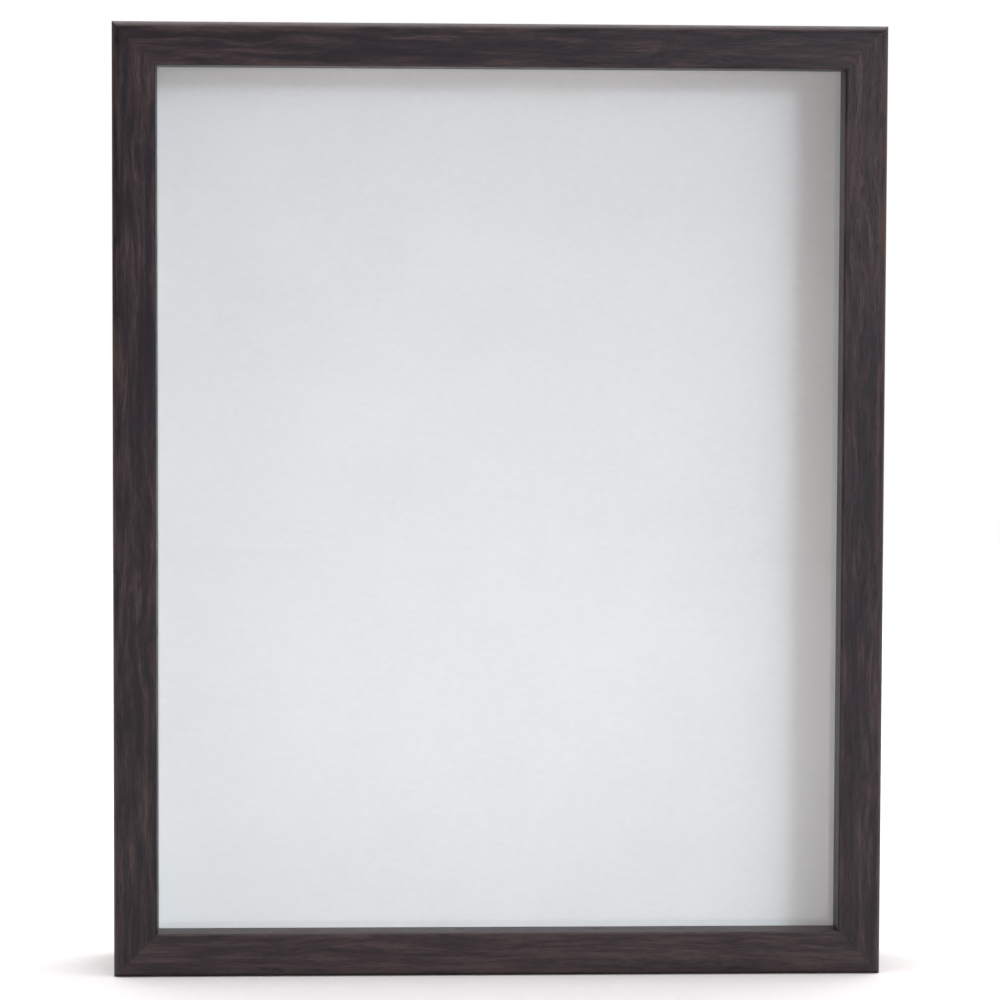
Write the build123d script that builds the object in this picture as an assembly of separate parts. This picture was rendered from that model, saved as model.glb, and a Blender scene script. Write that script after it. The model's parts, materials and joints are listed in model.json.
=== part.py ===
from build123d import *

import os

# Wooden shadow box for a standard 8 x 10 inch insert: a deep rabbeted moulding with mitred
# corners, glazing, a lined display space, a lift-off back held by turn buttons, two sawtooth
# hangers and two rear bumpers.
# Millimetres. +Z is up and the front faces -Y. The origin is the centre of the underside of
# the box's bounding box.

inch = 25.4

# The insert that the box takes, and the play around a sheet of that size in the rabbet
insert_width = 8 * inch
insert_height = 10 * inch
sheet_play = 0.8

# Moulding section: width is seen from the front, depth runs from the face to the rear
moulding_width = 12.2
frame_depth = 38.0
lip_width = 6.1
lip_depth = 10.0
outer_round = 2.4
inner_round = 0.8
rear_chamfer = 0.5

# Layers behind the lip
glass_thickness = 2.0
backing_thickness = 2.0
panel_thickness = 3.0
panel_recess = 0.2
back_gap = 0.1
spacer_thickness = 2.0
spacer_play = 0.2

# Corner nails, driven in from the rear across each mitre
nail_inset = 3.0
nail_leg = 5.0
nail_thickness = 0.5
nail_depth = 7.0
nail_recess = 0.3

# Turn buttons and their screws
button_inset = 3.3
button_spread = 60.0
button_width = 6.0
button_reach = 15.0
button_thickness = 1.0
button_lift = 0.9
button_bend = 3.0
button_gap = 0.1
screw_radius = 1.10
screw_length = 9.0
screw_tip = 2.0
screw_play = 0.03
screw_running_play = 0.07
head_radius = 2.5
head_height = 1.5
head_round = 0.9
recess_length = 2.8
recess_width = 0.7
recess_depth = 0.8

# Sawtooth hangers and their rivets
hanger_length = 45.0
hanger_width = 9.0
hanger_thickness = 0.8
hanger_rise = 1.6
hanger_tab = 7.5
hanger_ramp = 2.5
hanger_corner = 2.0
hanger_from_edge = 32.0
tooth_pitch = 2.6
tooth_depth = 1.7
tooth_count = 9
rivet_radius = 1.2
rivet_depth = 2.4
rivet_play = 0.03
rivet_head_radius = 2.3
rivet_head_height = 0.8
rivet_head_round = 0.5

# Rubber bumpers on the rear face, near the bottom corners
bumper_radius = 2.8
bumper_height = 3.0
bumper_round = 1.2
bumper_lift = 12.0

# Sizes and places that follow from the above
rabbet_wall = moulding_width - lip_width
rabbet_width = insert_width + 2 * sheet_play
rabbet_height = insert_height + 2 * sheet_play
frame_width = rabbet_width + 2 * rabbet_wall
frame_height = rabbet_height + 2 * rabbet_wall
middle_z = frame_height / 2
front_y = -(frame_depth + bumper_height) / 2
rear_y = front_y + frame_depth
glass_y = front_y + lip_depth
spacer_y = glass_y + glass_thickness
panel_rear_y = rear_y - panel_recess
panel_y = panel_rear_y - panel_thickness
backing_y = panel_y - backing_thickness
button_y = rear_y + button_gap
head_y = button_y + button_thickness + button_gap

# Each side of the frame: its turn about +Y from the bottom, its length, its distance from the
# middle, and where its turn buttons stand along it
sides = {
    "bottom": (0, frame_width, frame_height / 2, [0]),
    "left": (90, frame_height, frame_width / 2, [-button_spread, button_spread]),
    "top": (180, frame_width, frame_height / 2, [0]),
    "right": (270, frame_height, frame_width / 2, [-button_spread, button_spread]),
}


def on_side(turn, shape):
    # Carries a shape drawn about the middle of the frame, for its bottom side, to another side.
    return Pos(0, 0, middle_z) * Rot(0, turn, 0) * shape


def slab(width, height, y_from, y_to, x=0.0, z=middle_z):
    # A flat upright piece between two depths.
    return Pos(x, (y_from + y_to) / 2, z) * Box(width, y_to - y_from, height)


def rod_along_y(radius, y_from, y_to, x=0.0, z=0.0):
    # A round rod along the depth.
    return Pos(x, (y_from + y_to) / 2, z) * Rot(90, 0, 0) * Cylinder(radius, y_to - y_from)


def nail_shape(y_from, y_to, x_side, z_side):
    # One L of thin strip across a mitre, with its elbow on the mitre line.
    half = nail_thickness / 2
    middle = nail_leg / 2 - half
    elbow_x = frame_width / 2 - nail_inset
    elbow_z = frame_height / 2 - nail_inset
    along_x = slab(nail_leg, nail_thickness, y_from, y_to, elbow_x - middle, elbow_z)
    along_z = slab(nail_thickness, nail_leg, y_from, y_to, elbow_x, elbow_z - middle)
    nail = along_x + along_z
    if x_side < 0:
        nail = mirror(nail, Plane.YZ)
    if z_side < 0:
        nail = mirror(nail, Plane.XY)
    return Pos(0, 0, middle_z) * nail


corners = [(x_side, z_side) for x_side in (-1, 1) for z_side in (-1, 1)]


def corner_v_nails():
    # The four nails, a little below the rear face.
    top = rear_y - nail_recess
    return Compound(children=[nail_shape(top - nail_depth, top, *corner) for corner in corners])


def rail_section():
    # The moulding across its length: u runs in from the outer edge, v runs back from the face.
    outline = Polyline(
        (0, 0),
        (moulding_width, 0),
        (moulding_width, lip_depth),
        (rabbet_wall, lip_depth),
        (rabbet_wall, frame_depth),
        (0, frame_depth),
        close=True,
    )
    section = make_face(outline)
    corner_at = {(round(v.X, 3), round(v.Y, 3)): v for v in section.vertices()}
    section = fillet(corner_at[(0, 0)], outer_round)
    corner_at = {(round(v.X, 3), round(v.Y, 3)): v for v in section.vertices()}
    section = fillet(corner_at[(moulding_width, 0)], inner_round)
    corner_at = {(round(v.X, 3), round(v.Y, 3)): v for v in section.vertices()}
    return chamfer(corner_at[(0, frame_depth)], rear_chamfer)


def rail(name):
    # One mitred rail, with its screw holes and nail slots in the rear face.
    turn, length, reach, places = sides[name]
    # Section plane: its u is +Z and its v is +Y, so the rail grows along -X from +X
    across = Plane(origin=(length / 2, front_y, -reach), x_dir=(0, 0, 1), z_dir=(-1, 0, 0))
    blank = extrude(across * rail_section(), length)
    inner = length / 2 - moulding_width
    trapezium = Polyline(
        (-length / 2, 0, -reach),
        (length / 2, 0, -reach),
        (inner, 0, moulding_width - reach),
        (-inner, 0, moulding_width - reach),
        close=True,
    )
    mitres = extrude(make_face(trapezium), frame_depth, both=True)
    body = on_side(turn, blank & mitres)
    for place in places:
        hole_end = rear_y - screw_length - screw_play
        hole = rod_along_y(screw_radius + screw_play, hole_end, rear_y + 1, place, button_inset - reach)
        body -= on_side(turn, hole)
    slot_end = rear_y - nail_recess - nail_depth
    for corner in corners:
        body -= nail_shape(slot_end, rear_y + 1, *corner)
    return body


def glazing():
    # The clear sheet, against the rear of the lip.
    return slab(insert_width, insert_height, glass_y, spacer_y)


def spacer(name):
    # One strip of the lining that keeps the back away from the glazing. The upright strips run
    # the full height and the level strips stand between them.
    turn, length, reach, _ = sides[name]
    upright = name in ("left", "right")
    strip_length = length - 2 * rabbet_wall - 2 * spacer_play
    if not upright:
        strip_length -= 2 * spacer_thickness
    centre = rabbet_wall + spacer_play + spacer_thickness / 2 - reach
    strip = slab(strip_length, spacer_thickness, spacer_y, backing_y - back_gap, 0, centre)
    return on_side(turn, strip)


def backing_board():
    # The white board that is seen through the glazing.
    return slab(insert_width, insert_height, backing_y, panel_y)


# Hangers on the back: turn about +Y, and place across and up. The first serves the upright
# position, and the second serves the box hung with its left side up.
hangers = {
    "portrait": (0, 0, frame_height - hanger_from_edge),
    "landscape": (-90, hanger_from_edge - frame_width / 2, middle_z),
}
rivet_offset = hanger_length / 2 - hanger_tab / 2


def on_hanger(name, shape):
    # Carries a shape drawn about a hanger's middle on the panel's rear face to its place.
    turn, x, z = hangers[name]
    return Pos(x, panel_rear_y, z) * Rot(0, turn, 0) * shape


def back_panel():
    # The hardboard back, with the rivets' holes.
    panel = slab(insert_width, insert_height, panel_y, panel_rear_y)
    for name in hangers:
        for offset in (-rivet_offset, rivet_offset):
            hole = rod_along_y(rivet_radius + rivet_play, -rivet_depth, 1, offset)
            panel -= on_hanger(name, hole)
    return panel


def sawtooth_hanger(name):
    # A bent strip that stands off the panel between its tabs, with notches in its lower edge.
    end = hanger_length / 2
    ramp_foot = end - hanger_tab
    ramp_head = ramp_foot - hanger_ramp
    near = [(-end, 0), (-ramp_foot, 0), (-ramp_head, hanger_rise)]
    near += [(-x, y) for x, y in reversed(near)]
    far = [(x, y + hanger_thickness) for x, y in reversed(near)]
    strip = extrude(make_face(Polyline(*near, *far, close=True)), hanger_width / 2, both=True)
    outline = Plane.XZ * RectangleRounded(hanger_length, hanger_width, hanger_corner)
    strip &= extrude(outline, hanger_width, both=True)
    for index in range(tooth_count):
        middle = (index - (tooth_count - 1) / 2) * tooth_pitch
        low = -hanger_width / 2
        notch = Polyline(
            (middle - tooth_pitch / 2, 0, low),
            (middle + tooth_pitch / 2, 0, low),
            (middle, 0, low + tooth_depth),
            close=True,
        )
        strip -= extrude(make_face(notch), hanger_width, both=True)
    for offset in (-rivet_offset, rivet_offset):
        strip -= rod_along_y(rivet_radius + rivet_play, -1, hanger_thickness + 1, offset)
    return on_hanger(name, strip)


def hanger_rivets():
    # Two rivets for each hanger. Their shanks end inside the panel.
    rivets = []
    for name in hangers:
        for offset in (-rivet_offset, rivet_offset):
            shank = rod_along_y(rivet_radius, -rivet_depth, hanger_thickness, offset)
            head = rod_along_y(
                rivet_head_radius, hanger_thickness, hanger_thickness + rivet_head_height, offset
            )
            head = fillet(head.edges().sort_by(Axis.Y)[-1], rivet_head_round)
            rivets.append(on_hanger(name, shank + head))
    return Compound(children=rivets)


# Every turn button, by name: the side that it is screwed to and its place along that side
buttons = {
    "top": ("top", 0),
    "bottom": ("bottom", 0),
    "left_upper": ("left", -button_spread),
    "left_lower": ("left", button_spread),
    "right_upper": ("right", button_spread),
    "right_lower": ("right", -button_spread),
}


def on_pivot(name, shape):
    # Carries a shape drawn about a button's pivot, lying along the bottom rail, to its place.
    side, place = buttons[name]
    turn, _, reach, _ = sides[side]
    return on_side(turn, Pos(place, 0, button_inset - reach) * shape)


def turn_button(name):
    # A strip on a screw. At rest it lies along its rail, so that the back is free, and a quarter
    # turn about +Y brings its long end over the back. Its tip is bent up as a finger lift.
    pivot_end = button_width / 2
    bend = button_reach - button_bend
    near = [(pivot_end, 0), (-bend, 0), (-button_reach, button_lift)]
    far = [(x, y + button_thickness) for x, y in reversed(near)]
    edge = [(x, y + button_y) for x, y in near + far]
    strip = extrude(make_face(Polyline(*edge, close=True)), button_width / 2, both=True)
    length = button_reach + pivot_end
    outline = Pos(pivot_end - length / 2, 0, 0) * Plane.XZ * SlotOverall(length, button_width)
    strip &= extrude(outline, frame_depth, both=True)
    strip -= rod_along_y(screw_radius + screw_running_play, button_y - 1, head_y + 1)
    return on_pivot(name, strip)


def button_screw(name):
    # A cross-recessed pan-head screw, with a plain shank and a tapered tip.
    shank = rod_along_y(screw_radius, rear_y - screw_length + screw_tip, head_y)
    tip_middle = rear_y - screw_length + screw_tip / 2
    tip = Pos(0, tip_middle, 0) * Rot(90, 0, 0) * Cone(screw_radius, screw_radius / 4, screw_tip)
    head = rod_along_y(head_radius, head_y, head_y + head_height)
    head = fillet(head.edges().sort_by(Axis.Y)[-1], head_round)
    recess_middle = head_y + head_height - recess_depth / 2
    for turn in (0, 90):
        bar = Box(recess_length, recess_depth, recess_width)
        head -= Pos(0, recess_middle, 0) * Rot(0, turn, 0) * bar
    return on_pivot(name, shank + tip + head)


def turn_button_screws():
    return Compound(children=[button_screw(name) for name in buttons])


def bumper(x_side):
    # A small rubber disc on the rear of an upright rail, near the bottom.
    x = x_side * (frame_width / 2 - rabbet_wall / 2)
    disc = rod_along_y(bumper_radius, rear_y, rear_y + bumper_height, x, bumper_lift)
    return fillet(disc.edges().sort_by(Axis.Y)[-1], bumper_round)


def all_nodes():
    nodes = {}
    for name in sides:
        nodes["rail_" + name] = rail(name)
    nodes["corner_v_nails"] = corner_v_nails()
    nodes["glazing"] = glazing()
    for name in sides:
        nodes["spacer_" + name] = spacer(name)
    nodes["backing_board"] = backing_board()
    nodes["back_panel"] = back_panel()
    for name in hangers:
        nodes["sawtooth_hanger_" + name] = sawtooth_hanger(name)
    nodes["hanger_rivets"] = hanger_rivets()
    for name in buttons:
        nodes["turn_button_" + name] = turn_button(name)
    nodes["turn_button_screws"] = turn_button_screws()
    nodes["bumper_left"] = bumper(-1)
    nodes["bumper_right"] = bumper(1)
    return nodes


os.makedirs("parts", exist_ok=True)
for node_name, node_shape in all_nodes().items():
    export_step(node_shape, f"parts/{node_name}.step")
for button_name in buttons:
    pivot = on_pivot(button_name, Vertex(0, 0, 0)).center()
    print(f"pivot of turn_button_{button_name}: x {pivot.X:.2f}, z {pivot.Z:.2f}")
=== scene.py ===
import json
import math

import bmesh
import bpy
from mathutils import Matrix, Vector


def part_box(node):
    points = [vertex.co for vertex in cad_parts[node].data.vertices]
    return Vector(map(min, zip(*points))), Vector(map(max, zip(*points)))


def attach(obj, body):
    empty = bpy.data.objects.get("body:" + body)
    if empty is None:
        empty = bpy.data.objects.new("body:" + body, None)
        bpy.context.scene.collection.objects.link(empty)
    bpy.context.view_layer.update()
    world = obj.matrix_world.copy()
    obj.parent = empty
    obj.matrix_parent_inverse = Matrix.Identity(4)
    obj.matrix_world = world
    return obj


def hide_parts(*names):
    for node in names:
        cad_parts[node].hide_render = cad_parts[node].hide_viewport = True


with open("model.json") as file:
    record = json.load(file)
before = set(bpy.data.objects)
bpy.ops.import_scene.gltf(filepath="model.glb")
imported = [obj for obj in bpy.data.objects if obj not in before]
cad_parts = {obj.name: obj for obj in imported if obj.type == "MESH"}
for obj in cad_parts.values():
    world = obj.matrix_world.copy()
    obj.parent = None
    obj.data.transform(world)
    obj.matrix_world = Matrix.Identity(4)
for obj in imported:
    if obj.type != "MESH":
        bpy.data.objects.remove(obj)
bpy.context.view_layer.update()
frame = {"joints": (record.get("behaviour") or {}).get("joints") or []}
mm = 0.001

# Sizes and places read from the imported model
bottomLow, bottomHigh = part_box("rail_bottom")
leftLow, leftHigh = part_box("rail_left")
frameWidth = bottomHigh.x - bottomLow.x
frameHeight = leftHigh.z - leftLow.z
middle = Vector((0, 0, frameHeight / 2))
faceY = bottomLow.y
rearY = bottomHigh.y
mouldingWidth = bottomHigh.z - bottomLow.z
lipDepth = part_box("glazing")[0].y - faceY
sideTurns = {"bottom": 0, "left": 90, "top": 180, "right": 270}  # degrees about +Y
layAlongY = Matrix.Rotation(math.pi / 2, 4, "X")
grainOrder = ["top", "left", "bottom", "right"]
pivots = {joint["child"]: Vector(joint["pos_m"]) for joint in frame["joints"] if "pos_m" in joint}


def sideSize(turn):
    # length of that side, and its distance from the middle
    if turn % 180 == 0:
        return frameWidth, frameHeight / 2
    return frameHeight, frameWidth / 2


def turned(turn):
    return Matrix.Rotation(math.radians(turn), 4, "Y")


def ontoSide(turn):
    # from a shape drawn about the middle for the bottom side
    return Matrix.Translation(middle) @ turned(turn)


class Wire:  # a node's output that takes part in sums
    def __init__(self, finish, out):
        self.finish = finish
        self.out = out

    def other(self, name):
        return Wire(self.finish, self.out.node.outputs[name])

    def __add__(self, value):
        return self.finish.maths("ADD", self, value)

    def __radd__(self, value):
        return self.finish.maths("ADD", value, self)

    def __sub__(self, value):
        return self.finish.maths("SUBTRACT", self, value)

    def __rsub__(self, value):
        return self.finish.maths("SUBTRACT", value, self)

    def __mul__(self, value):
        return self.finish.maths("MULTIPLY", self, value)

    def __rmul__(self, value):
        return self.finish.maths("MULTIPLY", value, self)

    def __gt__(self, value):
        return self.finish.maths("GREATER_THAN", self, value)


class Finish:  # the node tree of one material or world
    def __init__(self, owner):
        owner.use_nodes = True
        self.owner = owner
        self.tree = owner.node_tree
        self.tree.nodes.clear()

    def add(self, kind, settings=None, sockets=None, out=0):
        node = self.tree.nodes.new("ShaderNode" + kind)
        for name, value in (settings or {}).items():
            if name == "stops":
                steps = node.color_ramp.elements
                steps.remove(steps[1])
                steps[0].position, steps[0].color = value[0]
                for place, colour in value[1:]:
                    steps.new(place).color = colour
            else:
                setattr(node, name, value)
        for name, value in (sockets or {}).items():
            if isinstance(value, Wire):
                self.tree.links.new(value.out, node.inputs[name])
            else:
                node.inputs[name].default_value = value
        return Wire(self, node.outputs[out]) if len(node.outputs) else node

    def maths(self, operation, *values):
        return self.add("Math", {"operation": operation}, dict(enumerate(values)))

    def stretch(self, vector, scales):
        return self.add("VectorMath", {"operation": "MULTIPLY"}, {0: vector, 1: scales})

    def noise(self, vector, scales, detail=2.0, rough=0.5):
        places = self.stretch(vector, scales)
        sockets = {"Vector": places, "Scale": 1.0, "Detail": detail, "Roughness": rough}
        return self.add("TexNoise", None, sockets)

    def ease(self, value, low, high):
        # 0 under low, 1 over high, and smooth between
        settings = {"interpolation_type": "SMOOTHSTEP"}
        return self.add("MapRange", settings, {"Value": value, "From Min": low, "From Max": high})

    def ramp(self, value, *stops):
        return self.add("ValToRGB", {"stops": [(p, (*c, 1)) for p, c in stops]}, {0: value})

    def blend(self, factor, first, second):
        first, second = [c if isinstance(c, Wire) else (*c, 1) for c in (first, second)]
        return self.add("Mix", {"data_type": "RGBA"}, {0: factor, 6: first, 7: second}, 2)

    def bump(self, height, distance, strength=1.0):
        return self.add("Bump", None, {"Height": height, "Distance": distance, "Strength": strength})

    def cover(self, **sockets):
        # the finished surface: socket names with their words run together
        named = {
            "BaseColor": "Base Color",
            "Specular": "Specular IOR Level",
            "Transmission": "Transmission Weight",
        }
        values = {}
        for name, value in sockets.items():
            plain = name == "BaseColor" and not isinstance(value, Wire)
            values[named.get(name, name)] = (*value, 1) if plain else value
        return self.add("BsdfPrincipled", None, values)

    def show(self, surface):
        self.add("OutputMaterial", None, {"Surface": surface})
        return self.owner


def newFinish(name):
    return Finish(bpy.data.materials.new(name))


woodLook = {
    "dark": (0.0060, 0.0036, 0.0062),
    "body": (0.0115, 0.0070, 0.0112),
    "brown": (0.0262, 0.0160, 0.0192),
    "light": (0.056, 0.035, 0.036),
    "arris": (0.048, 0.030, 0.029),
    "seam": (0.110, 0.080, 0.075),
    # the next two entries are painted light: a paler tone, and how much of it each rail gets, for the light
    # falling on the bottom and right rails
    "thin": (0.077, 0.050, 0.053),
    "thinness": {"top": 0.0, "left": 0.0, "bottom": 0.11, "right": 0.02},
    "raw": ((0.30, 0.19, 0.105), (0.43, 0.30, 0.18), (0.52, 0.38, 0.245)),
    "steps": (0.40, 0.47, 0.55, 0.65),  # tones at which dark, body, brown and light are reached
    "rawSteps": (0.36, 0.50, 0.62),
    "shares": (0.48, 0.28, 0.24),  # of streaks, broad bands and flecks in the tone
    "sway": 7.0 * mm,
    "outerWear": (1.4 * mm, 3.0 * mm),
    "innerWear": (0.5 * mm, 1.5 * mm),
    "seamWidth": (0.06 * mm, 0.25 * mm),
    "raggedEdge": 1.1 * mm,
    "rearStain": (0.55 * mm, 0.25 * mm),  # where the stain runs out, before the rear face
    "roughness": 0.43,
    "rawRoughness": 0.82,
    "poreDepth": 0.10 * mm,
    "lipWidth": 6.1 * mm,
}


def makeWood():
    look = woodLook
    wood = newFinish("stainedWood")
    grain = wood.add("Attribute", {"attribute_name": "grain"}, out="Vector")  # along, in, back
    inward = wood.add("SeparateXYZ", None, {0: grain}, "Y")
    back = inward.other("Z")
    sway = (wood.noise(grain, (21, 90, 90), 2.0) - 0.5) * look["sway"]
    aside = wood.add("CombineXYZ", None, {1: sway, 2: sway})
    swayed = wood.add("VectorMath", {"operation": "ADD"}, {0: grain, 1: aside})
    streaks = wood.noise(swayed, (52, 640, 640), 2.0)
    broad = wood.noise(swayed, (9, 190, 190), 1.0)
    flecks = wood.noise(swayed, (300, 2000, 2000), 2.0, 0.65)
    pores = wood.ease(wood.noise(swayed, (190, 3600, 3600), 1.0), 0.60, 0.70)
    streakShare, broadShare, fleckShare = look["shares"]
    tone = streaks * streakShare + broad * broadShare + flecks * fleckShare
    # painted light: the bottom rail, and a little the right one, are made paler, for light that falls on
    # them and not on the top and left
    thinness = wood.add("Attribute", {"attribute_name": "thinness"}, out="Fac")
    shades = [look[shade] for shade in ("dark", "body", "brown", "light")]
    stain = wood.ramp(tone + thinness * 0.5, *zip(look["steps"], shades))
    stain = wood.blend(pores * 0.4, stain, look["dark"])
    stain = wood.blend(thinness, stain, look["thin"])
    # the stain is thinner over the arrises, where the brown of the wood comes through
    outer = 1 - wood.ease(inward + back, *look["outerWear"])
    inner = 1 - wood.ease(mouldingWidth - inward + back, *look["innerWear"])
    worn = (outer + inner * 0.7) * wood.ease(tone, 0.40, 0.56)
    stain = wood.blend(worn * 0.5, stain, look["arris"])
    # a pale hairline where a mitre's edges show, widest at the corner the lengths start from
    seam = wood.add("Attribute", {"attribute_name": "seam"}, out="Fac")
    line = (1 - wood.ease(seam, *look["seamWidth"])) * wood.ease(flecks, 0.40, 0.60)
    stain = wood.blend(line * 0.6, stain, look["seam"])
    # bare wood on the rear face and in the rabbet, with a ragged edge of stain
    ragged = (wood.noise(grain, (260, 700, 700), 3.0) - 0.5) * look["raggedEdge"]
    rear = wood.ease(back + ragged, *(rearY - faceY - before for before in look["rearStain"]))
    rabbet = (inward > mouldingWidth - look["lipWidth"] - 0.1 * mm) * (back > lipDepth - 0.05 * mm)
    bare = wood.maths("MAXIMUM", rear, rabbet)
    raw = wood.ramp(tone, *zip(look["rawSteps"], look["raw"]))
    raw = wood.blend(pores * 0.5, raw, look["raw"][0])
    rough = look["roughness"] + (streaks - 0.5) * 0.16 + pores * 0.18
    rough = rough + bare * (look["rawRoughness"] - look["roughness"])
    height = streaks * 0.35 + flecks * 0.2 - pores * 0.45
    surface = wood.cover(BaseColor=wood.blend(bare, stain, raw), Roughness=rough, Specular=0.33,
                         Normal=wood.bump(height, look["poreDepth"], 0.7))
    return wood.show(surface)


def makeGlass():
    glass = newFinish("clearGlass")
    pane = glass.cover(BaseColor=(0.985, 0.992, 0.988), Roughness=0.0, IOR=1.5, Transmission=1.0)
    clear = glass.add("BsdfTransparent", None, {"Color": (0.94, 0.945, 0.945, 1)})
    shadowRay = glass.add("LightPath", out="Is Shadow Ray")
    return glass.show(glass.add("MixShader", None, {0: shadowRay, 1: pane, 2: clear}))


paperLooks = {
    "liningPaper": {
        "colour": (0.86, 0.86, 0.86),
        "shade": (0.80, 0.80, 0.80),
        "fibre": (500, 500, 500),
        "roughness": 0.72,
    },
    "boardPaper": {
        "colour": (0.87, 0.87, 0.87),
        "shade": (0.83, 0.83, 0.832),
        "fibre": (420, 420, 700),
        "roughness": 0.70,
    },
}


def makePaper(name):
    # matt, with short fibres and a faint cloudiness
    look = paperLooks[name]
    board = newFinish(name)
    place = board.add("TexCoord", out="Object")
    cloudy = board.noise(place, (28, 28, 28), 3.0)
    fibres = board.noise(place, look["fibre"], 3.0, 0.65)
    specks = board.noise(place, (2400, 2400, 2400), 1.0)
    tone = cloudy * 0.35 + fibres * 0.45 + specks * 0.20
    finished = board.ramp(tone, (0.36, look["shade"]), (0.58, look["colour"]))
    rough = look["roughness"] + (fibres - 0.5) * 0.1
    surface = board.cover(BaseColor=finished, Roughness=rough, Specular=0.25,
                          Normal=board.bump(fibres + specks * 0.5, 0.02 * mm, 0.6))
    return board.show(surface)


def makeFoam():
    foam = newFinish("foamCore")
    place = foam.add("TexCoord", out="Object")
    cells = foam.add("TexVoronoi", {"feature": "F1"}, {"Vector": place, "Scale": 2600.0})
    tone = foam.noise(place, (900, 900, 900), 2.0)
    colour = foam.ramp(cells * 0.7 + tone * 0.3, (0.2, (0.80, 0.79, 0.76)), (0.7, (0.60, 0.59, 0.56)))
    surface = foam.cover(BaseColor=colour, Roughness=0.85, Specular=0.2,
                         Normal=foam.bump(cells, -0.08 * mm, 0.8))
    return foam.show(surface)


hardboardLook = {
    "dark": (0.120, 0.063, 0.031),
    "body": (0.185, 0.105, 0.054),
    "light": (0.27, 0.165, 0.090),
    "chip": (0.36, 0.235, 0.135),
    "darkChip": (0.075, 0.038, 0.020),
}


def makeHardboard():
    board = newFinish("hardboard")
    place = board.add("TexCoord", out="Object")
    cloudy = board.noise(place, (16, 16, 16), 4.0, 0.6)
    turnedPlace = board.add("VectorRotate", {"rotation_type": "Y_AXIS"}, {"Vector": place, "Angle": 0.9})
    fibres = board.noise(place, (380, 900, 2300), 3.0, 0.7)
    crossing = board.noise(turnedPlace, (2300, 900, 420), 3.0, 0.7)
    chips = board.ease(board.noise(turnedPlace, (650, 650, 1500), 2.0, 0.6), 0.60, 0.72)
    darkChips = board.ease(board.noise(place, (1300, 700, 600), 2.0, 0.6), 0.61, 0.70)
    tone = cloudy * 0.16 + fibres * 0.42 + crossing * 0.42
    look = hardboardLook
    colour = board.ramp(tone, (0.38, look["dark"]), (0.50, look["body"]), (0.62, look["light"]))
    colour = board.blend(chips * 0.6, colour, look["chip"])
    colour = board.blend(darkChips * 0.55, colour, look["darkChip"])
    surface = board.cover(BaseColor=colour, Roughness=0.58 + (fibres - 0.5) * 0.25, Specular=0.35,
                          Normal=board.bump(fibres + crossing - darkChips * 0.4, 0.05 * mm, 0.7))
    return board.show(surface)


metalLooks = {
    "zincPlate": {
        "colour": (0.56, 0.56, 0.545),
        "shade": (0.38, 0.385, 0.39),
        "roughness": 0.32,
        "scratch": (400, 3000, 900),
    },
    "screwPlate": {
        "colour": (0.54, 0.54, 0.53),
        "shade": (0.36, 0.365, 0.37),
        "roughness": 0.28,
        "scratch": (1800, 600, 1800),
    },
    "nailSteel": {
        "colour": (0.44, 0.45, 0.46),
        "shade": (0.25, 0.255, 0.27),
        "roughness": 0.42,
        "scratch": (300, 4000, 300),
    },
}


def makeMetal(name):
    # plated or bare steel: uneven plating, short scratches and dull spots
    look = metalLooks[name]
    metal = newFinish(name)
    place = metal.add("TexCoord", out="Object")
    cloudy = metal.noise(place, (420, 420, 420), 3.0, 0.6)
    lines = metal.noise(place, look["scratch"], 2.0, 0.6)
    dull = metal.ease(metal.noise(place, (900, 900, 900), 2.0), 0.56, 0.68)
    finished = metal.ramp(cloudy * 0.6 + lines * 0.4, (0.38, look["shade"]), (0.60, look["colour"]))
    rough = look["roughness"] + (lines - 0.5) * 0.22 + dull * 0.16
    surface = metal.cover(BaseColor=finished, Metallic=1.0, Roughness=rough,
                          Normal=metal.bump(lines + cloudy * 0.5, 0.012 * mm, 0.6))
    return metal.show(surface)


def makeRubber():
    rubber = newFinish("bumperRubber")
    place = rubber.add("TexCoord", out="Object")
    fine = rubber.noise(place, (2600, 2600, 2600), 2.0)
    dust = rubber.ease(rubber.noise(place, (700, 700, 700), 3.0, 0.7), 0.5, 0.75)
    colour = rubber.blend(dust * 0.35, (0.018, 0.018, 0.019), (0.075, 0.072, 0.068))
    surface = rubber.cover(BaseColor=colour, Roughness=0.62 + dust * 0.2, Specular=0.4,
                           Normal=rubber.bump(fine, 0.03 * mm, 0.6))
    return rubber.show(surface)


wood = makeWood()
glass = makeGlass()
liningPaper = makePaper("liningPaper")
boardPaper = makePaper("boardPaper")
foamCore = makeFoam()
hardboard = makeHardboard()
zinc = makeMetal("zincPlate")
screwZinc = makeMetal("screwPlate")
nailSteel = makeMetal("nailSteel")
rubber = makeRubber()
print("finishes made")


# Helpers for the meshes, all of which work on a bmesh
def soften(bm, edges, width, steps=2):
    bmesh.ops.bevel(bm, geom=list(edges), offset=width, offset_type="OFFSET", affect="EDGES",
                    segments=steps, profile=0.5, material=-1, clamp_overlap=True)


def roundCorners(bm, corners, radius, steps=6):
    bmesh.ops.bevel(bm, geom=list(corners), offset=radius, offset_type="OFFSET", affect="VERTICES",
                    segments=steps, profile=0.5, material=-1, clamp_overlap=True)


def sharpEdges(bm, degrees=50):
    limit = math.radians(degrees)
    return [edge for edge in bm.edges if edge.is_manifold and edge.calc_face_angle(0) > limit]


def thicken(bm, depth):
    # a sheet of faces becomes a closed solid
    grown = bmesh.ops.extrude_face_region(bm, geom=bm.faces[:])["geom"]
    moved = [part for part in grown if isinstance(part, bmesh.types.BMVert)]
    bmesh.ops.translate(bm, verts=moved, vec=depth)
    bmesh.ops.recalc_face_normals(bm, faces=bm.faces[:])


def outlineFace(points, at):
    # one flat face from the points of its outline
    bm = bmesh.new()
    bm.faces.new([bm.verts.new(at(*point)) for point in points])
    return bm


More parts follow.
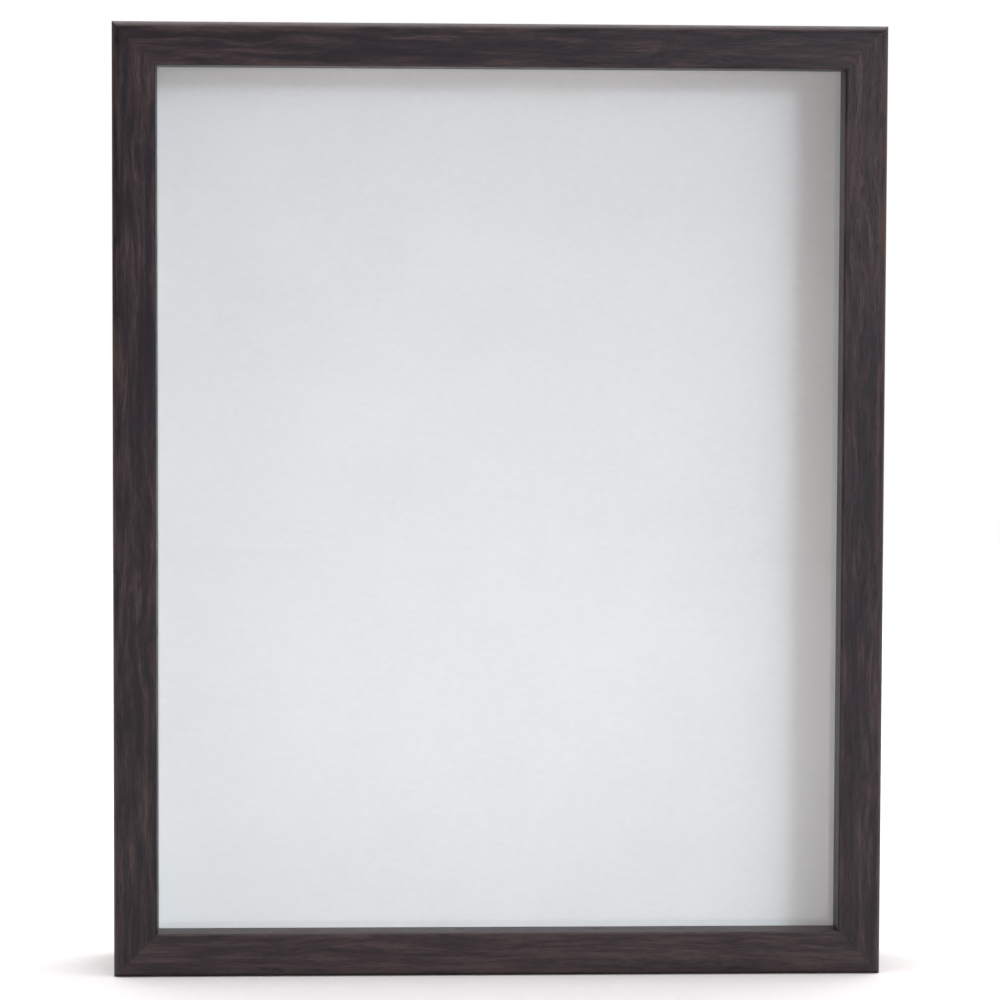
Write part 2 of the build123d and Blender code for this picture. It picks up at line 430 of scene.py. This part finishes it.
def cutAcross(bm, place, direction, clear=False):
    # clear takes away what lies beyond the cut
    whole = bm.verts[:] + bm.edges[:] + bm.faces[:]
    cut = bmesh.ops.bisect_plane(bm, geom=whole, dist=1e-7, plane_co=place, plane_no=direction,
                                 clear_outer=clear)
    return [part for part in cut["geom_cut"] if isinstance(part, bmesh.types.BMEdge)]


def lathe(points, steps=32):
    # a closed round solid about the Y axis from its (radius, y) outline
    bm = bmesh.new()
    line = [bm.verts.new((radius, y, 0)) for radius, y in points]
    edges = [bm.edges.new(pair) for pair in zip(line, line[1:])]
    bmesh.ops.spin(bm, geom=line + edges, cent=(0, 0, 0), axis=(0, 1, 0), angle=math.tau, steps=steps,
                   use_merge=True)
    bmesh.ops.remove_doubles(bm, verts=bm.verts[:], dist=1e-6)
    bmesh.ops.recalc_face_normals(bm, faces=bm.faces[:])
    return bm


def arcPoints(centre, radius, start, end, steps):
    angles = [math.radians(start + (end - start) * step / steps) for step in range(steps + 1)]
    across, up = centre
    return [(across + radius * math.cos(angle), up + radius * math.sin(angle)) for angle in angles]


def asMesh(bm, name="scratch"):
    mesh = bpy.data.meshes.new(name)
    bm.to_mesh(mesh)
    bm.free()
    return mesh


def carve(bm, tool):
    # takes the tool's solids out of a solid
    block = bpy.data.objects.new("block", asMesh(bm))
    knife = bpy.data.objects.new("knife", asMesh(tool))
    for thing in (block, knife):
        bpy.context.scene.collection.objects.link(thing)
    cut = block.modifiers.new("cut", "BOOLEAN")
    cut.operation = "DIFFERENCE"
    cut.solver = "EXACT"
    cut.object = knife
    result = bmesh.new()
    result.from_object(block, bpy.context.evaluated_depsgraph_get())
    for thing in (block, knife):
        mesh = thing.data
        bpy.data.objects.remove(thing)
        bpy.data.meshes.remove(mesh)
    return result


def repeat(bm, places):
    # one bmesh that holds a copy of the shape at each place
    mesh = asMesh(bm)
    joined = bmesh.new()
    for place in places:
        copy = mesh.copy()
        copy.transform(place)
        joined.from_mesh(copy)
        bpy.data.meshes.remove(copy)
    return joined


smoothUnder = math.radians(32)


def finishPiece(bm, name, looks, body, slot, *nodes):
    for edge in bm.edges:
        edge.smooth = edge.is_manifold and edge.calc_face_angle(0) < smoothUnder
    for face in bm.faces:
        face.smooth = True
    mesh = asMesh(bm, name)
    for look in looks:
        mesh.materials.append(look)
    piece = bpy.data.objects.new(name, mesh)
    bpy.context.scene.collection.objects.link(piece)
    flatten = piece.modifiers.new("flatten", "WEIGHTED_NORMAL")  # flat faces stay flat beside their bevels
    flatten.keep_sharp = True
    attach(piece, body)
    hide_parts(*nodes)
    return piece


# The rails are one moulding, cut to four lengths
rail = {
    "outerRound": 2.4 * mm,
    "innerRound": 0.8 * mm,
    "rearEase": 0.5 * mm,
    "mitreEase": 0.05 * mm,
    "cuts": 12,
    "seamFades": 5,  # how many times faster the hairline fades at the other corners
}
nail = {
    "inset": 3.0 * mm,
    "leg": 5.0 * mm,
    "thick": 0.5 * mm,
    "depth": 7.0 * mm,
    "sunk": 0.3 * mm,
    "ease": 0.06 * mm,
}
screw = {
    "shank": 1.10 * mm,
    "root": 0.86 * mm,
    "length": 9.0 * mm,
    "tip": 2.0 * mm,
    "turns": 8,
    "head": 2.5 * mm,
    "headHeight": 1.5 * mm,
    "headRound": 1.0 * mm,
    "crossLength": 2.7 * mm,
    "crossWidth": 0.62 * mm,
    "crossDepth": 0.85 * mm,
    "crossFloor": 0.62,  # the cross at its floor, as a share of its size at the top
    "headFoot": 0.12 * mm,
    "threadGap": 0.4 * mm,
    "holePlay": 0.03 * mm,
    "firstStop": 17,  # degrees; each screw stopped at its own turn
    "nextStop": 37,
}


def railBlank(turn):
    length, reach = sideSize(turn)
    wall = mouldingWidth - woodLook["lipWidth"]
    depth = rearY - faceY
    lip = [(mouldingWidth, 0), (mouldingWidth, lipDepth), (wall, lipDepth)]
    section = [(0, 0), *lip, (wall, depth), (0, depth)]
    bm = outlineFace(section, lambda inward, back: (-length / 2, faceY + back, inward - reach))
    thicken(bm, (length, 0, 0))

    def longEdges(inward, back):
        spot = Vector((0, faceY + back, inward - reach))
        return [edge for edge in bm.edges if all((v.co.yz - spot.yz).length < 1e-6 for v in edge.verts)]

    soften(bm, longEdges(0, 0), rail["outerRound"], 10)
    soften(bm, longEdges(mouldingWidth, 0), rail["innerRound"], 6)
    soften(bm, longEdges(0, depth), rail["rearEase"], 3)
    for end in (-1, 1):
        corner = Vector((end * length / 2, 0, -reach))
        cut = cutAcross(bm, corner, Vector((end, 0, 1)).normalized(), True)
        bmesh.ops.contextual_create(bm, geom=cut)
        soften(bm, cut, rail["mitreEase"], 2)
    # cut across at even steps, so that the grain's places are true between them
    for step in range(1, rail["cuts"]):
        cutAcross(bm, (length * (step / rail["cuts"] - 0.5), 0, 0), (1, 0, 0))
    bmesh.ops.recalc_face_normals(bm, faces=bm.faces[:])
    return bm


def railTool(turn, names):
    # what is cut from the rear of a rail: nail slots at its ends, and its screws' holes
    length, reach = sideSize(turn)
    tool = bmesh.new()
    bottom = rearY - nail["sunk"] - nail["depth"]
    slot = (nail["leg"], rearY + mm - bottom, nail["thick"])
    for end in (-1, 1):
        x = end * (length / 2 - nail["inset"] - nail["leg"] / 2 + nail["thick"] / 2)
        place = Matrix.Translation((x, bottom + slot[1] / 2, nail["inset"] - reach))
        bmesh.ops.create_cube(tool, size=1, matrix=place @ Matrix.Diagonal((*slot, 1)))
    for name in names:
        spot = ontoSide(turn).inverted() @ pivots[name]
        depth = screw["length"] + mm
        radius = screw["shank"] + screw["holePlay"]
        place = Matrix.Translation((spot.x, rearY + mm - depth / 2, spot.z)) @ layAlongY
        bmesh.ops.create_cone(tool, cap_ends=True, segments=24, radius1=radius, radius2=radius, depth=depth,
                              matrix=place)
    return tool


def buildRail(side):
    turn = sideTurns[side]
    length, reach = sideSize(turn)
    names = [name for name in pivots if name.startswith("button_" + side)]
    bm = carve(railBlank(turn), railTool(turn, names))
    # where each point lies in one long moulding, cut into the four rails in turn, so that the
    # grain runs on round each corner but the first
    before = sum(sideSize(sideTurns[other])[0] for other in grainOrder[:grainOrder.index(side)])
    grain = bm.verts.layers.float_vector.new("grain")
    seam = bm.verts.layers.float.new("seam")
    thinness = bm.verts.layers.float.new("thinness")
    for vert in bm.verts:
        x, inward = vert.co.x, vert.co.z + reach
        along = before + length / 2 + x * length / (length - 2 * inward)
        vert[grain] = Vector((along, inward, vert.co.y - faceY))
        # painted light: the share of the paler tone this rail gets, for the light that falls on it
        vert[thinness] = woodLook["thinness"][side]
        firstCorner = (side == grainOrder[0] and x < 0) or (side == grainOrder[-1] and x > 0)
        vert[seam] = (length / 2 - inward - abs(x)) * (1 if firstCorner else rail["seamFades"])
    bmesh.ops.transform(bm, matrix=ontoSide(turn), verts=bm.verts[:])
    finishPiece(bm, "rail" + side.capitalize(), [wood], "root", "stained_wood", "rail_" + side)


for side in sideTurns:
    buildRail(side)
print("rails made")


def buildNails():
    half = nail["thick"] / 2
    far = nail["leg"] - half
    outline = [(-half, -half), (far, -half), (far, half), (half, half), (half, far), (-half, far)]
    bottom = rearY - nail["sunk"] - nail["depth"]
    bm = outlineFace(outline, lambda x, z: (x, bottom, z))
    thicken(bm, (0, nail["depth"], 0))
    soften(bm, sharpEdges(bm), nail["ease"], 1)
    places = []
    for turn in sideTurns.values():
        length, reach = sideSize(turn)
        elbow = (nail["inset"] - length / 2, 0, nail["inset"] - reach)
        places.append(ontoSide(turn) @ Matrix.Translation(elbow))
    finishPiece(repeat(bm, places), "cornerNails", [nailSteel], "root", "nail_steel", "corner_v_nails")


buildNails()
print("corner nails made")


# How far the edges of the sheets are eased
boardEases = {"glazing": 0.3 * mm, "spacer": 0.12 * mm, "backing_board": 0.2 * mm, "back_panel": 0.25 * mm}


def boardBlock(node, ease, steps=2):
    low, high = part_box(node)
    bm = bmesh.new()
    place = Matrix.Translation((low + high) / 2) @ Matrix.Diagonal((*(high - low), 1))
    bmesh.ops.create_cube(bm, size=1, matrix=place)
    soften(bm, bm.edges[:], ease, steps)
    return bm


def buildLining():
    for side in sideTurns:
        bm = boardBlock("spacer_" + side, boardEases["spacer"], 1)
        for face in bm.faces:
            if abs(face.normal.y) > 0.9:
                face.material_index = 1  # the cut edges show the foam
        name = "lining" + side.capitalize()
        finishPiece(bm, name, [liningPaper, foamCore], "root", "white_lining", "spacer_" + side)


def buildSheet(node, name, look, body, slot):
    finishPiece(boardBlock(node, boardEases[node]), name, [look], body, slot, node)


buildSheet("glazing", "glassPane", glass, "root", "glazing")
buildLining()
buildSheet("backing_board", "innerBoard", boardPaper, "back", "white_board")
buildSheet("back_panel", "backPanel", hardboard, "back", "hardboard")
print("glazing, lining and boards made")


# One strip, drawn out from an eye about its pivot
button = {
    "halfWidth": 3.0 * mm,
    "hole": 1.17 * mm,
    "drawn": 12.0 * mm,
    "lift": 0.9 * mm,
    "bendFrom": 11.2 * mm,
    "bendTo": 12.8 * mm,
    "thick": 1.0 * mm,
    "ease": 0.13 * mm,
    "steps": 40,
}


def buttonShape():
    # the strip runs along -X, with a round tip that is bent up
    bm = bmesh.new()
    for radius in (button["halfWidth"], button["hole"]):
        bmesh.ops.create_circle(bm, cap_ends=False, radius=radius, segments=button["steps"],
                                matrix=layAlongY)
    bmesh.ops.bridge_loops(bm, edges=bm.edges[:])
    near = button["halfWidth"] * 0.9
    rim = [edge for edge in bm.edges if edge.is_boundary
           and all(vert.co.x < 1e-6 and vert.co.length > near for vert in edge.verts)]
    drawn = bmesh.ops.extrude_edge_only(bm, edges=rim)["geom"]
    moved = [part for part in drawn if isinstance(part, bmesh.types.BMVert)]
    bmesh.ops.translate(bm, verts=moved, vec=(-button["drawn"], 0, 0))
    start, stop = button["bendFrom"], button["bendTo"]
    for step in range(5):
        cutAcross(bm, (-start - (stop - start) * step / 4, 0, 0), (1, 0, 0))
    slope = button["lift"] / (button["halfWidth"] - (start + stop) / 2 + button["drawn"])
    for vert in bm.verts:
        past = -vert.co.x - start
        bent = min(max(past, 0), stop - start)
        vert.co.y += slope * (bent * bent / 2 / (stop - start) + max(past - stop + start, 0))
    thicken(bm, (0, button["thick"], 0))
    soften(bm, sharpEdges(bm), button["ease"], 2)
    return bm


def buttonTurn(name):
    return next(turn for side, turn in sideTurns.items() if name.startswith("button_" + side))


def buildButtons():
    shape = asMesh(buttonShape())
    for name, pivot in pivots.items():
        node = "turn_" + name
        bm = bmesh.new()
        bm.from_mesh(shape)
        spot = Vector((pivot.x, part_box(node)[0].y, pivot.z))
        place = Matrix.Translation(spot) @ turned(buttonTurn(name))
        bmesh.ops.transform(bm, matrix=place, verts=bm.verts[:])
        words = name.split("_")
        title = "turnButton" + "".join(word.capitalize() for word in words[1:])
        finishPiece(bm, title, [zinc], name, "plated_steel", node)
    bpy.data.meshes.remove(shape)


def screwShape():
    # y = 0 is the underside of the head, and the thread runs to -Y
    head, tall, curve, foot = screw["head"], screw["headHeight"], screw["headRound"], screw["headFoot"]
    shank, root = screw["shank"], screw["root"]
    outline = [(0, tall)] + arcPoints((head - curve, tall - curve), curve, 90, 0, 8)
    outline += [(head, foot), (head - foot, 0), (shank, 0)]
    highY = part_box("turn_button_screws")[1].y - tall
    bottom = rearY - screw["length"] - highY
    start = rearY - highY - screw["threadGap"]
    pitch = (start - bottom - screw["tip"]) / screw["turns"]
    for ring in range(screw["turns"]):
        top = start - ring * pitch
        outline += [(shank, top), (root, top - pitch * 0.35), (root, top - pitch * 0.65)]
    outline += [(shank, bottom + screw["tip"]), (shank * 0.25, bottom), (0, bottom)]
    bm = lathe(outline, 32)
    long, thin = screw["crossLength"] / 2, screw["crossWidth"] / 2
    quarter = [(long, -thin), (long, thin), (thin, thin)]
    quarterTurns = ((1, 0), (0, 1), (-1, 0), (0, -1))  # cosine and sine
    cross = [(x * c - z * s, x * s + z * c) for c, s in quarterTurns for x, z in quarter]
    floor, share = tall - screw["crossDepth"], screw["crossFloor"]
    tool = outlineFace(cross, lambda x, z: (x * share, floor, z * share))
    thicken(tool, (0, screw["crossDepth"] + 0.3 * mm, 0))
    for vert in tool.verts:
        if vert.co.y > floor + 1e-6:
            vert.co.x /= share
            vert.co.z /= share
    return carve(bm, tool)


def buildScrews():
    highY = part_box("turn_button_screws")[1].y - screw["headHeight"]
    places = []
    for index, pivot in enumerate(pivots.values()):
        spot = Matrix.Translation((pivot.x, highY, pivot.z))
        places.append(spot @ turned(screw["firstStop"] + index * screw["nextStop"]))
    screws = repeat(screwShape(), places)
    finishPiece(screws, "turnButtonScrews", [screwZinc], "root", "screw_steel", "turn_button_screws")


buildButtons()
buildScrews()
print("turn buttons and screws made")


# A toothed strip that stands off the panel on two ramps
hanger = {
    "length": 45.0 * mm,
    "width": 9.0 * mm,
    "thick": 0.8 * mm,
    "ease": 0.09 * mm,
    "bendEase": 0.5 * mm,
    "rise": 1.6 * mm,
    "rampFoot": 15.0 * mm,
    "rampHead": 12.5 * mm,
    "corner": 2.0 * mm,
    "teeth": 9,
    "pitch": 2.6 * mm,
    "toothDepth": 1.7 * mm,
    "rivetAt": 18.75 * mm,
    "rivetHead": 2.3 * mm,
    "rivetRise": 0.8 * mm,
    "rivetShank": 1.2 * mm,
    "rivetDepth": 2.4 * mm,
}
hangerTurns = {"portrait": 0, "landscape": -90}


def hangerShape():
    end, low = hanger["length"] / 2, -hanger["width"] / 2
    first = -hanger["pitch"] * hanger["teeth"] / 2
    outline = [(-end, low)]
    for tooth in range(hanger["teeth"]):
        start = first + tooth * hanger["pitch"]
        outline += [(start, low), (start + hanger["pitch"] / 2, low + hanger["toothDepth"])]
    outline += [(-first, low), (end, low), (end, -low), (-end, -low)]
    bm = outlineFace(outline, lambda x, z: (x, 0, z))
    corners = [vert for vert in bm.verts if abs(abs(vert.co.x) - end) < 1e-6]
    roundCorners(bm, corners, hanger["corner"])
    foot, head, ease = hanger["rampFoot"], hanger["rampHead"], hanger["bendEase"]
    for place in (foot + ease, foot, foot - ease, head + ease, head, head - ease):
        for way in (-1, 1):
            cutAcross(bm, (way * place, 0, 0), (1, 0, 0))
    slope = hanger["rise"] / (foot - head)

    def height(x):
        # a ramp whose two bends are rounded over the ease
        def bend(past):
            if past < -ease:
                return 0.0
            return past if past > ease else (past + ease) ** 2 / (4 * ease)
        return slope * (bend(foot - abs(x)) - bend(head - abs(x)))

    for vert in bm.verts:
        vert.co.y = height(vert.co.x)
    thicken(bm, (0, hanger["thick"], 0))
    soften(bm, sharpEdges(bm, 60), hanger["ease"], 2)
    return bm


def rivetShape():
    # y = 0 is the panel's face, under the hanger's tab
    base, rise, head = hanger["thick"], hanger["rivetRise"], hanger["rivetHead"]
    shank, depth = hanger["rivetShank"], hanger["rivetDepth"]
    ball = (head * head + rise * rise) / (2 * rise)  # the ball that the domed head is cut from
    steps = 8
    reachAngle = math.asin(head / ball)
    angles = [reachAngle * step / steps for step in range(steps)]
    dome = [(ball * math.sin(angle), base + rise - ball + ball * math.cos(angle)) for angle in angles]
    outline = dome + [(head, base + 0.08 * mm), (head - 0.06 * mm, base)]
    outline += [(shank, base), (shank, -depth), (0, -depth)]
    return lathe(outline, 32)


def buildHangers():
    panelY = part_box("back_panel")[1].y
    shape = asMesh(hangerShape())
    rivetPlaces = []
    for name, turn in hangerTurns.items():
        node = "sawtooth_hanger_" + name
        low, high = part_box(node)
        centre = (low + high) / 2
        place = Matrix.Translation((centre.x, panelY, centre.z)) @ turned(turn)
        bm = bmesh.new()
        bm.from_mesh(shape)
        bmesh.ops.transform(bm, matrix=place, verts=bm.verts[:])
        finishPiece(bm, "hanger" + name.capitalize(), [zinc], "back", "plated_steel", node)
        rivetPlaces += [place @ Matrix.Translation((way * hanger["rivetAt"], 0, 0)) for way in (-1, 1)]
    bpy.data.meshes.remove(shape)
    rivets = repeat(rivetShape(), rivetPlaces)
    finishPiece(rivets, "hangerRivets", [screwZinc], "back", "rivet_steel", "hanger_rivets")


buildHangers()
print("hangers and rivets made")


bumper = {"round": 1.2 * mm, "footEase": 0.15 * mm}


def buildBumpers():
    for way in ("left", "right"):
        low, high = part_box("bumper_" + way)
        radius, tall = (high.x - low.x) / 2, high.y - low.y
        curve, ease = bumper["round"], bumper["footEase"]
        outline = [(0, tall)] + arcPoints((radius - curve, tall - curve), curve, 90, 0, 8)
        outline += [(radius, ease), (radius - ease, 0), (0, 0)]
        bm = lathe(outline, 40)
        centre = (low + high) / 2
        bmesh.ops.translate(bm, verts=bm.verts[:], vec=(centre.x, low.y, centre.z))
        finishPiece(bm, "bumper" + way.capitalize(), [rubber], "root", "bumper_rubber", "bumper_" + way)


buildBumpers()
print("bumpers made")


studio = {
    "floorRadius": 2.2,
    "floorColour": (0.83, 0.86, 0.87),
    "floorShade": (0.80, 0.83, 0.84),
    "floorFade": (0.4, 0.96),  # shares of the floor's radius between which it fades away
    "front": 0.06,  # the room's light, level
    "above": 0.82,
    "horizon": 0.84,
    "rightward": 0.62,  # how much more of it comes from the right
    "worldTint": (1.0, 0.835, 0.815),
    "keyAway": 2.6,
    "keySide": 18.5,  # degrees to the right of straight on
    "keyUp": 10.0,
    "keySize": (0.31, 0.20),
    "keyPower": 9.3,
    "keyTint": (0.79, 0.92, 1.0),
    "topPlace": (0, 0.4, 2.0),
    "topAim": (0, 0.35, 0),
    "topSize": (2.6, 2.4),
    "topPower": 58.0,
}


def buildStage():
    bm = bmesh.new()
    bmesh.ops.create_circle(bm, cap_ends=True, radius=studio["floorRadius"], segments=96)
    floorMesh = asMesh(bm, "floor")
    paint = newFinish("floorPaint")
    place = paint.add("TexCoord", out="Object")
    soft = paint.noise(place, (3, 3, 3), 2.0)
    colour = paint.blend(soft * 0.05, studio["floorColour"], studio["floorShade"])
    # the floor fades into the white room toward its rim
    across = paint.add("VectorMath", {"operation": "LENGTH"}, {0: place}, "Value")
    fade = 1 - paint.ease(across, *(studio["floorRadius"] * share for share in studio["floorFade"]))
    surface = paint.cover(BaseColor=colour, Roughness=0.8, Specular=0.1, Alpha=fade)
    floorMesh.materials.append(paint.show(surface))
    floor = bpy.data.objects.new("floor", floorMesh)
    bpy.context.scene.collection.objects.link(floor)
    world = bpy.data.worlds.new("studio")
    bpy.context.scene.world = world
    sky = Finish(world)
    seen = sky.add("LightPath", out="Is Camera Ray")
    tint = sky.blend(seen, studio["worldTint"], (1, 1, 1))
    side = sky.add("SeparateXYZ", None, {0: sky.add("TexCoord", out="Generated")}, "X")
    up = side.other("Z")
    room = sky.ease(up, 0.0, 0.8) * studio["above"] + (1 - sky.ease(up, -0.02, 0.2)) * studio["horizon"]
    room = (room + studio["front"]) * (side * studio["rightward"] + 1)
    strength = room + seen * (1 - room)
    light = sky.add("Background", None, {"Color": tint, "Strength": strength})
    sky.add("OutputWorld", None, {"Surface": light})


def softLight(name, place, aim, size, power, colour=(1, 1, 1)):
    data = bpy.data.lights.new(name, "AREA")
    data.shape = "RECTANGLE"
    data.size, data.size_y = size
    data.energy = power
    data.color = colour
    lamp = bpy.data.objects.new(name, data)
    lamp.location = place
    lamp.rotation_euler = (Vector(aim) - Vector(place)).to_track_quat("-Z", "Y").to_euler()
    bpy.context.scene.collection.objects.link(lamp)


def buildLights():
    side, up = math.radians(studio["keySide"]), math.radians(studio["keyUp"])
    level = math.cos(up)
    toKey = Vector((math.sin(side) * level, -math.cos(side) * level, math.sin(up)))
    key = middle + studio["keyAway"] * toKey
    softLight("keyLight", key, middle, studio["keySize"], studio["keyPower"], studio["keyTint"])
    softLight("topLight", studio["topPlace"], studio["topAim"], studio["topSize"], studio["topPower"])


viewpoint = {
    "sensor": 36.0,
    "lens": 126.0,
    "nearest": 0.01,
    "farthest": 50.0,
    "place": (-0.0441, -1.0, 0.1913),
    "turn": (86.702, -0.208, -2.558),  # degrees
}


def buildCamera():
    data = bpy.data.cameras.new("camera")
    data.sensor_width = viewpoint["sensor"]
    data.lens = viewpoint["lens"]
    data.clip_start = viewpoint["nearest"]
    data.clip_end = viewpoint["farthest"]
    camera = bpy.data.objects.new("camera", data)
    camera.location = viewpoint["place"]
    camera.rotation_euler = [math.radians(angle) for angle in viewpoint["turn"]]
    bpy.context.scene.collection.objects.link(camera)
    bpy.context.scene.camera = camera
    bpy.context.scene.view_settings.view_transform = "Standard"


buildStage()
buildLights()
buildCamera()
print("stage, lights and camera made")
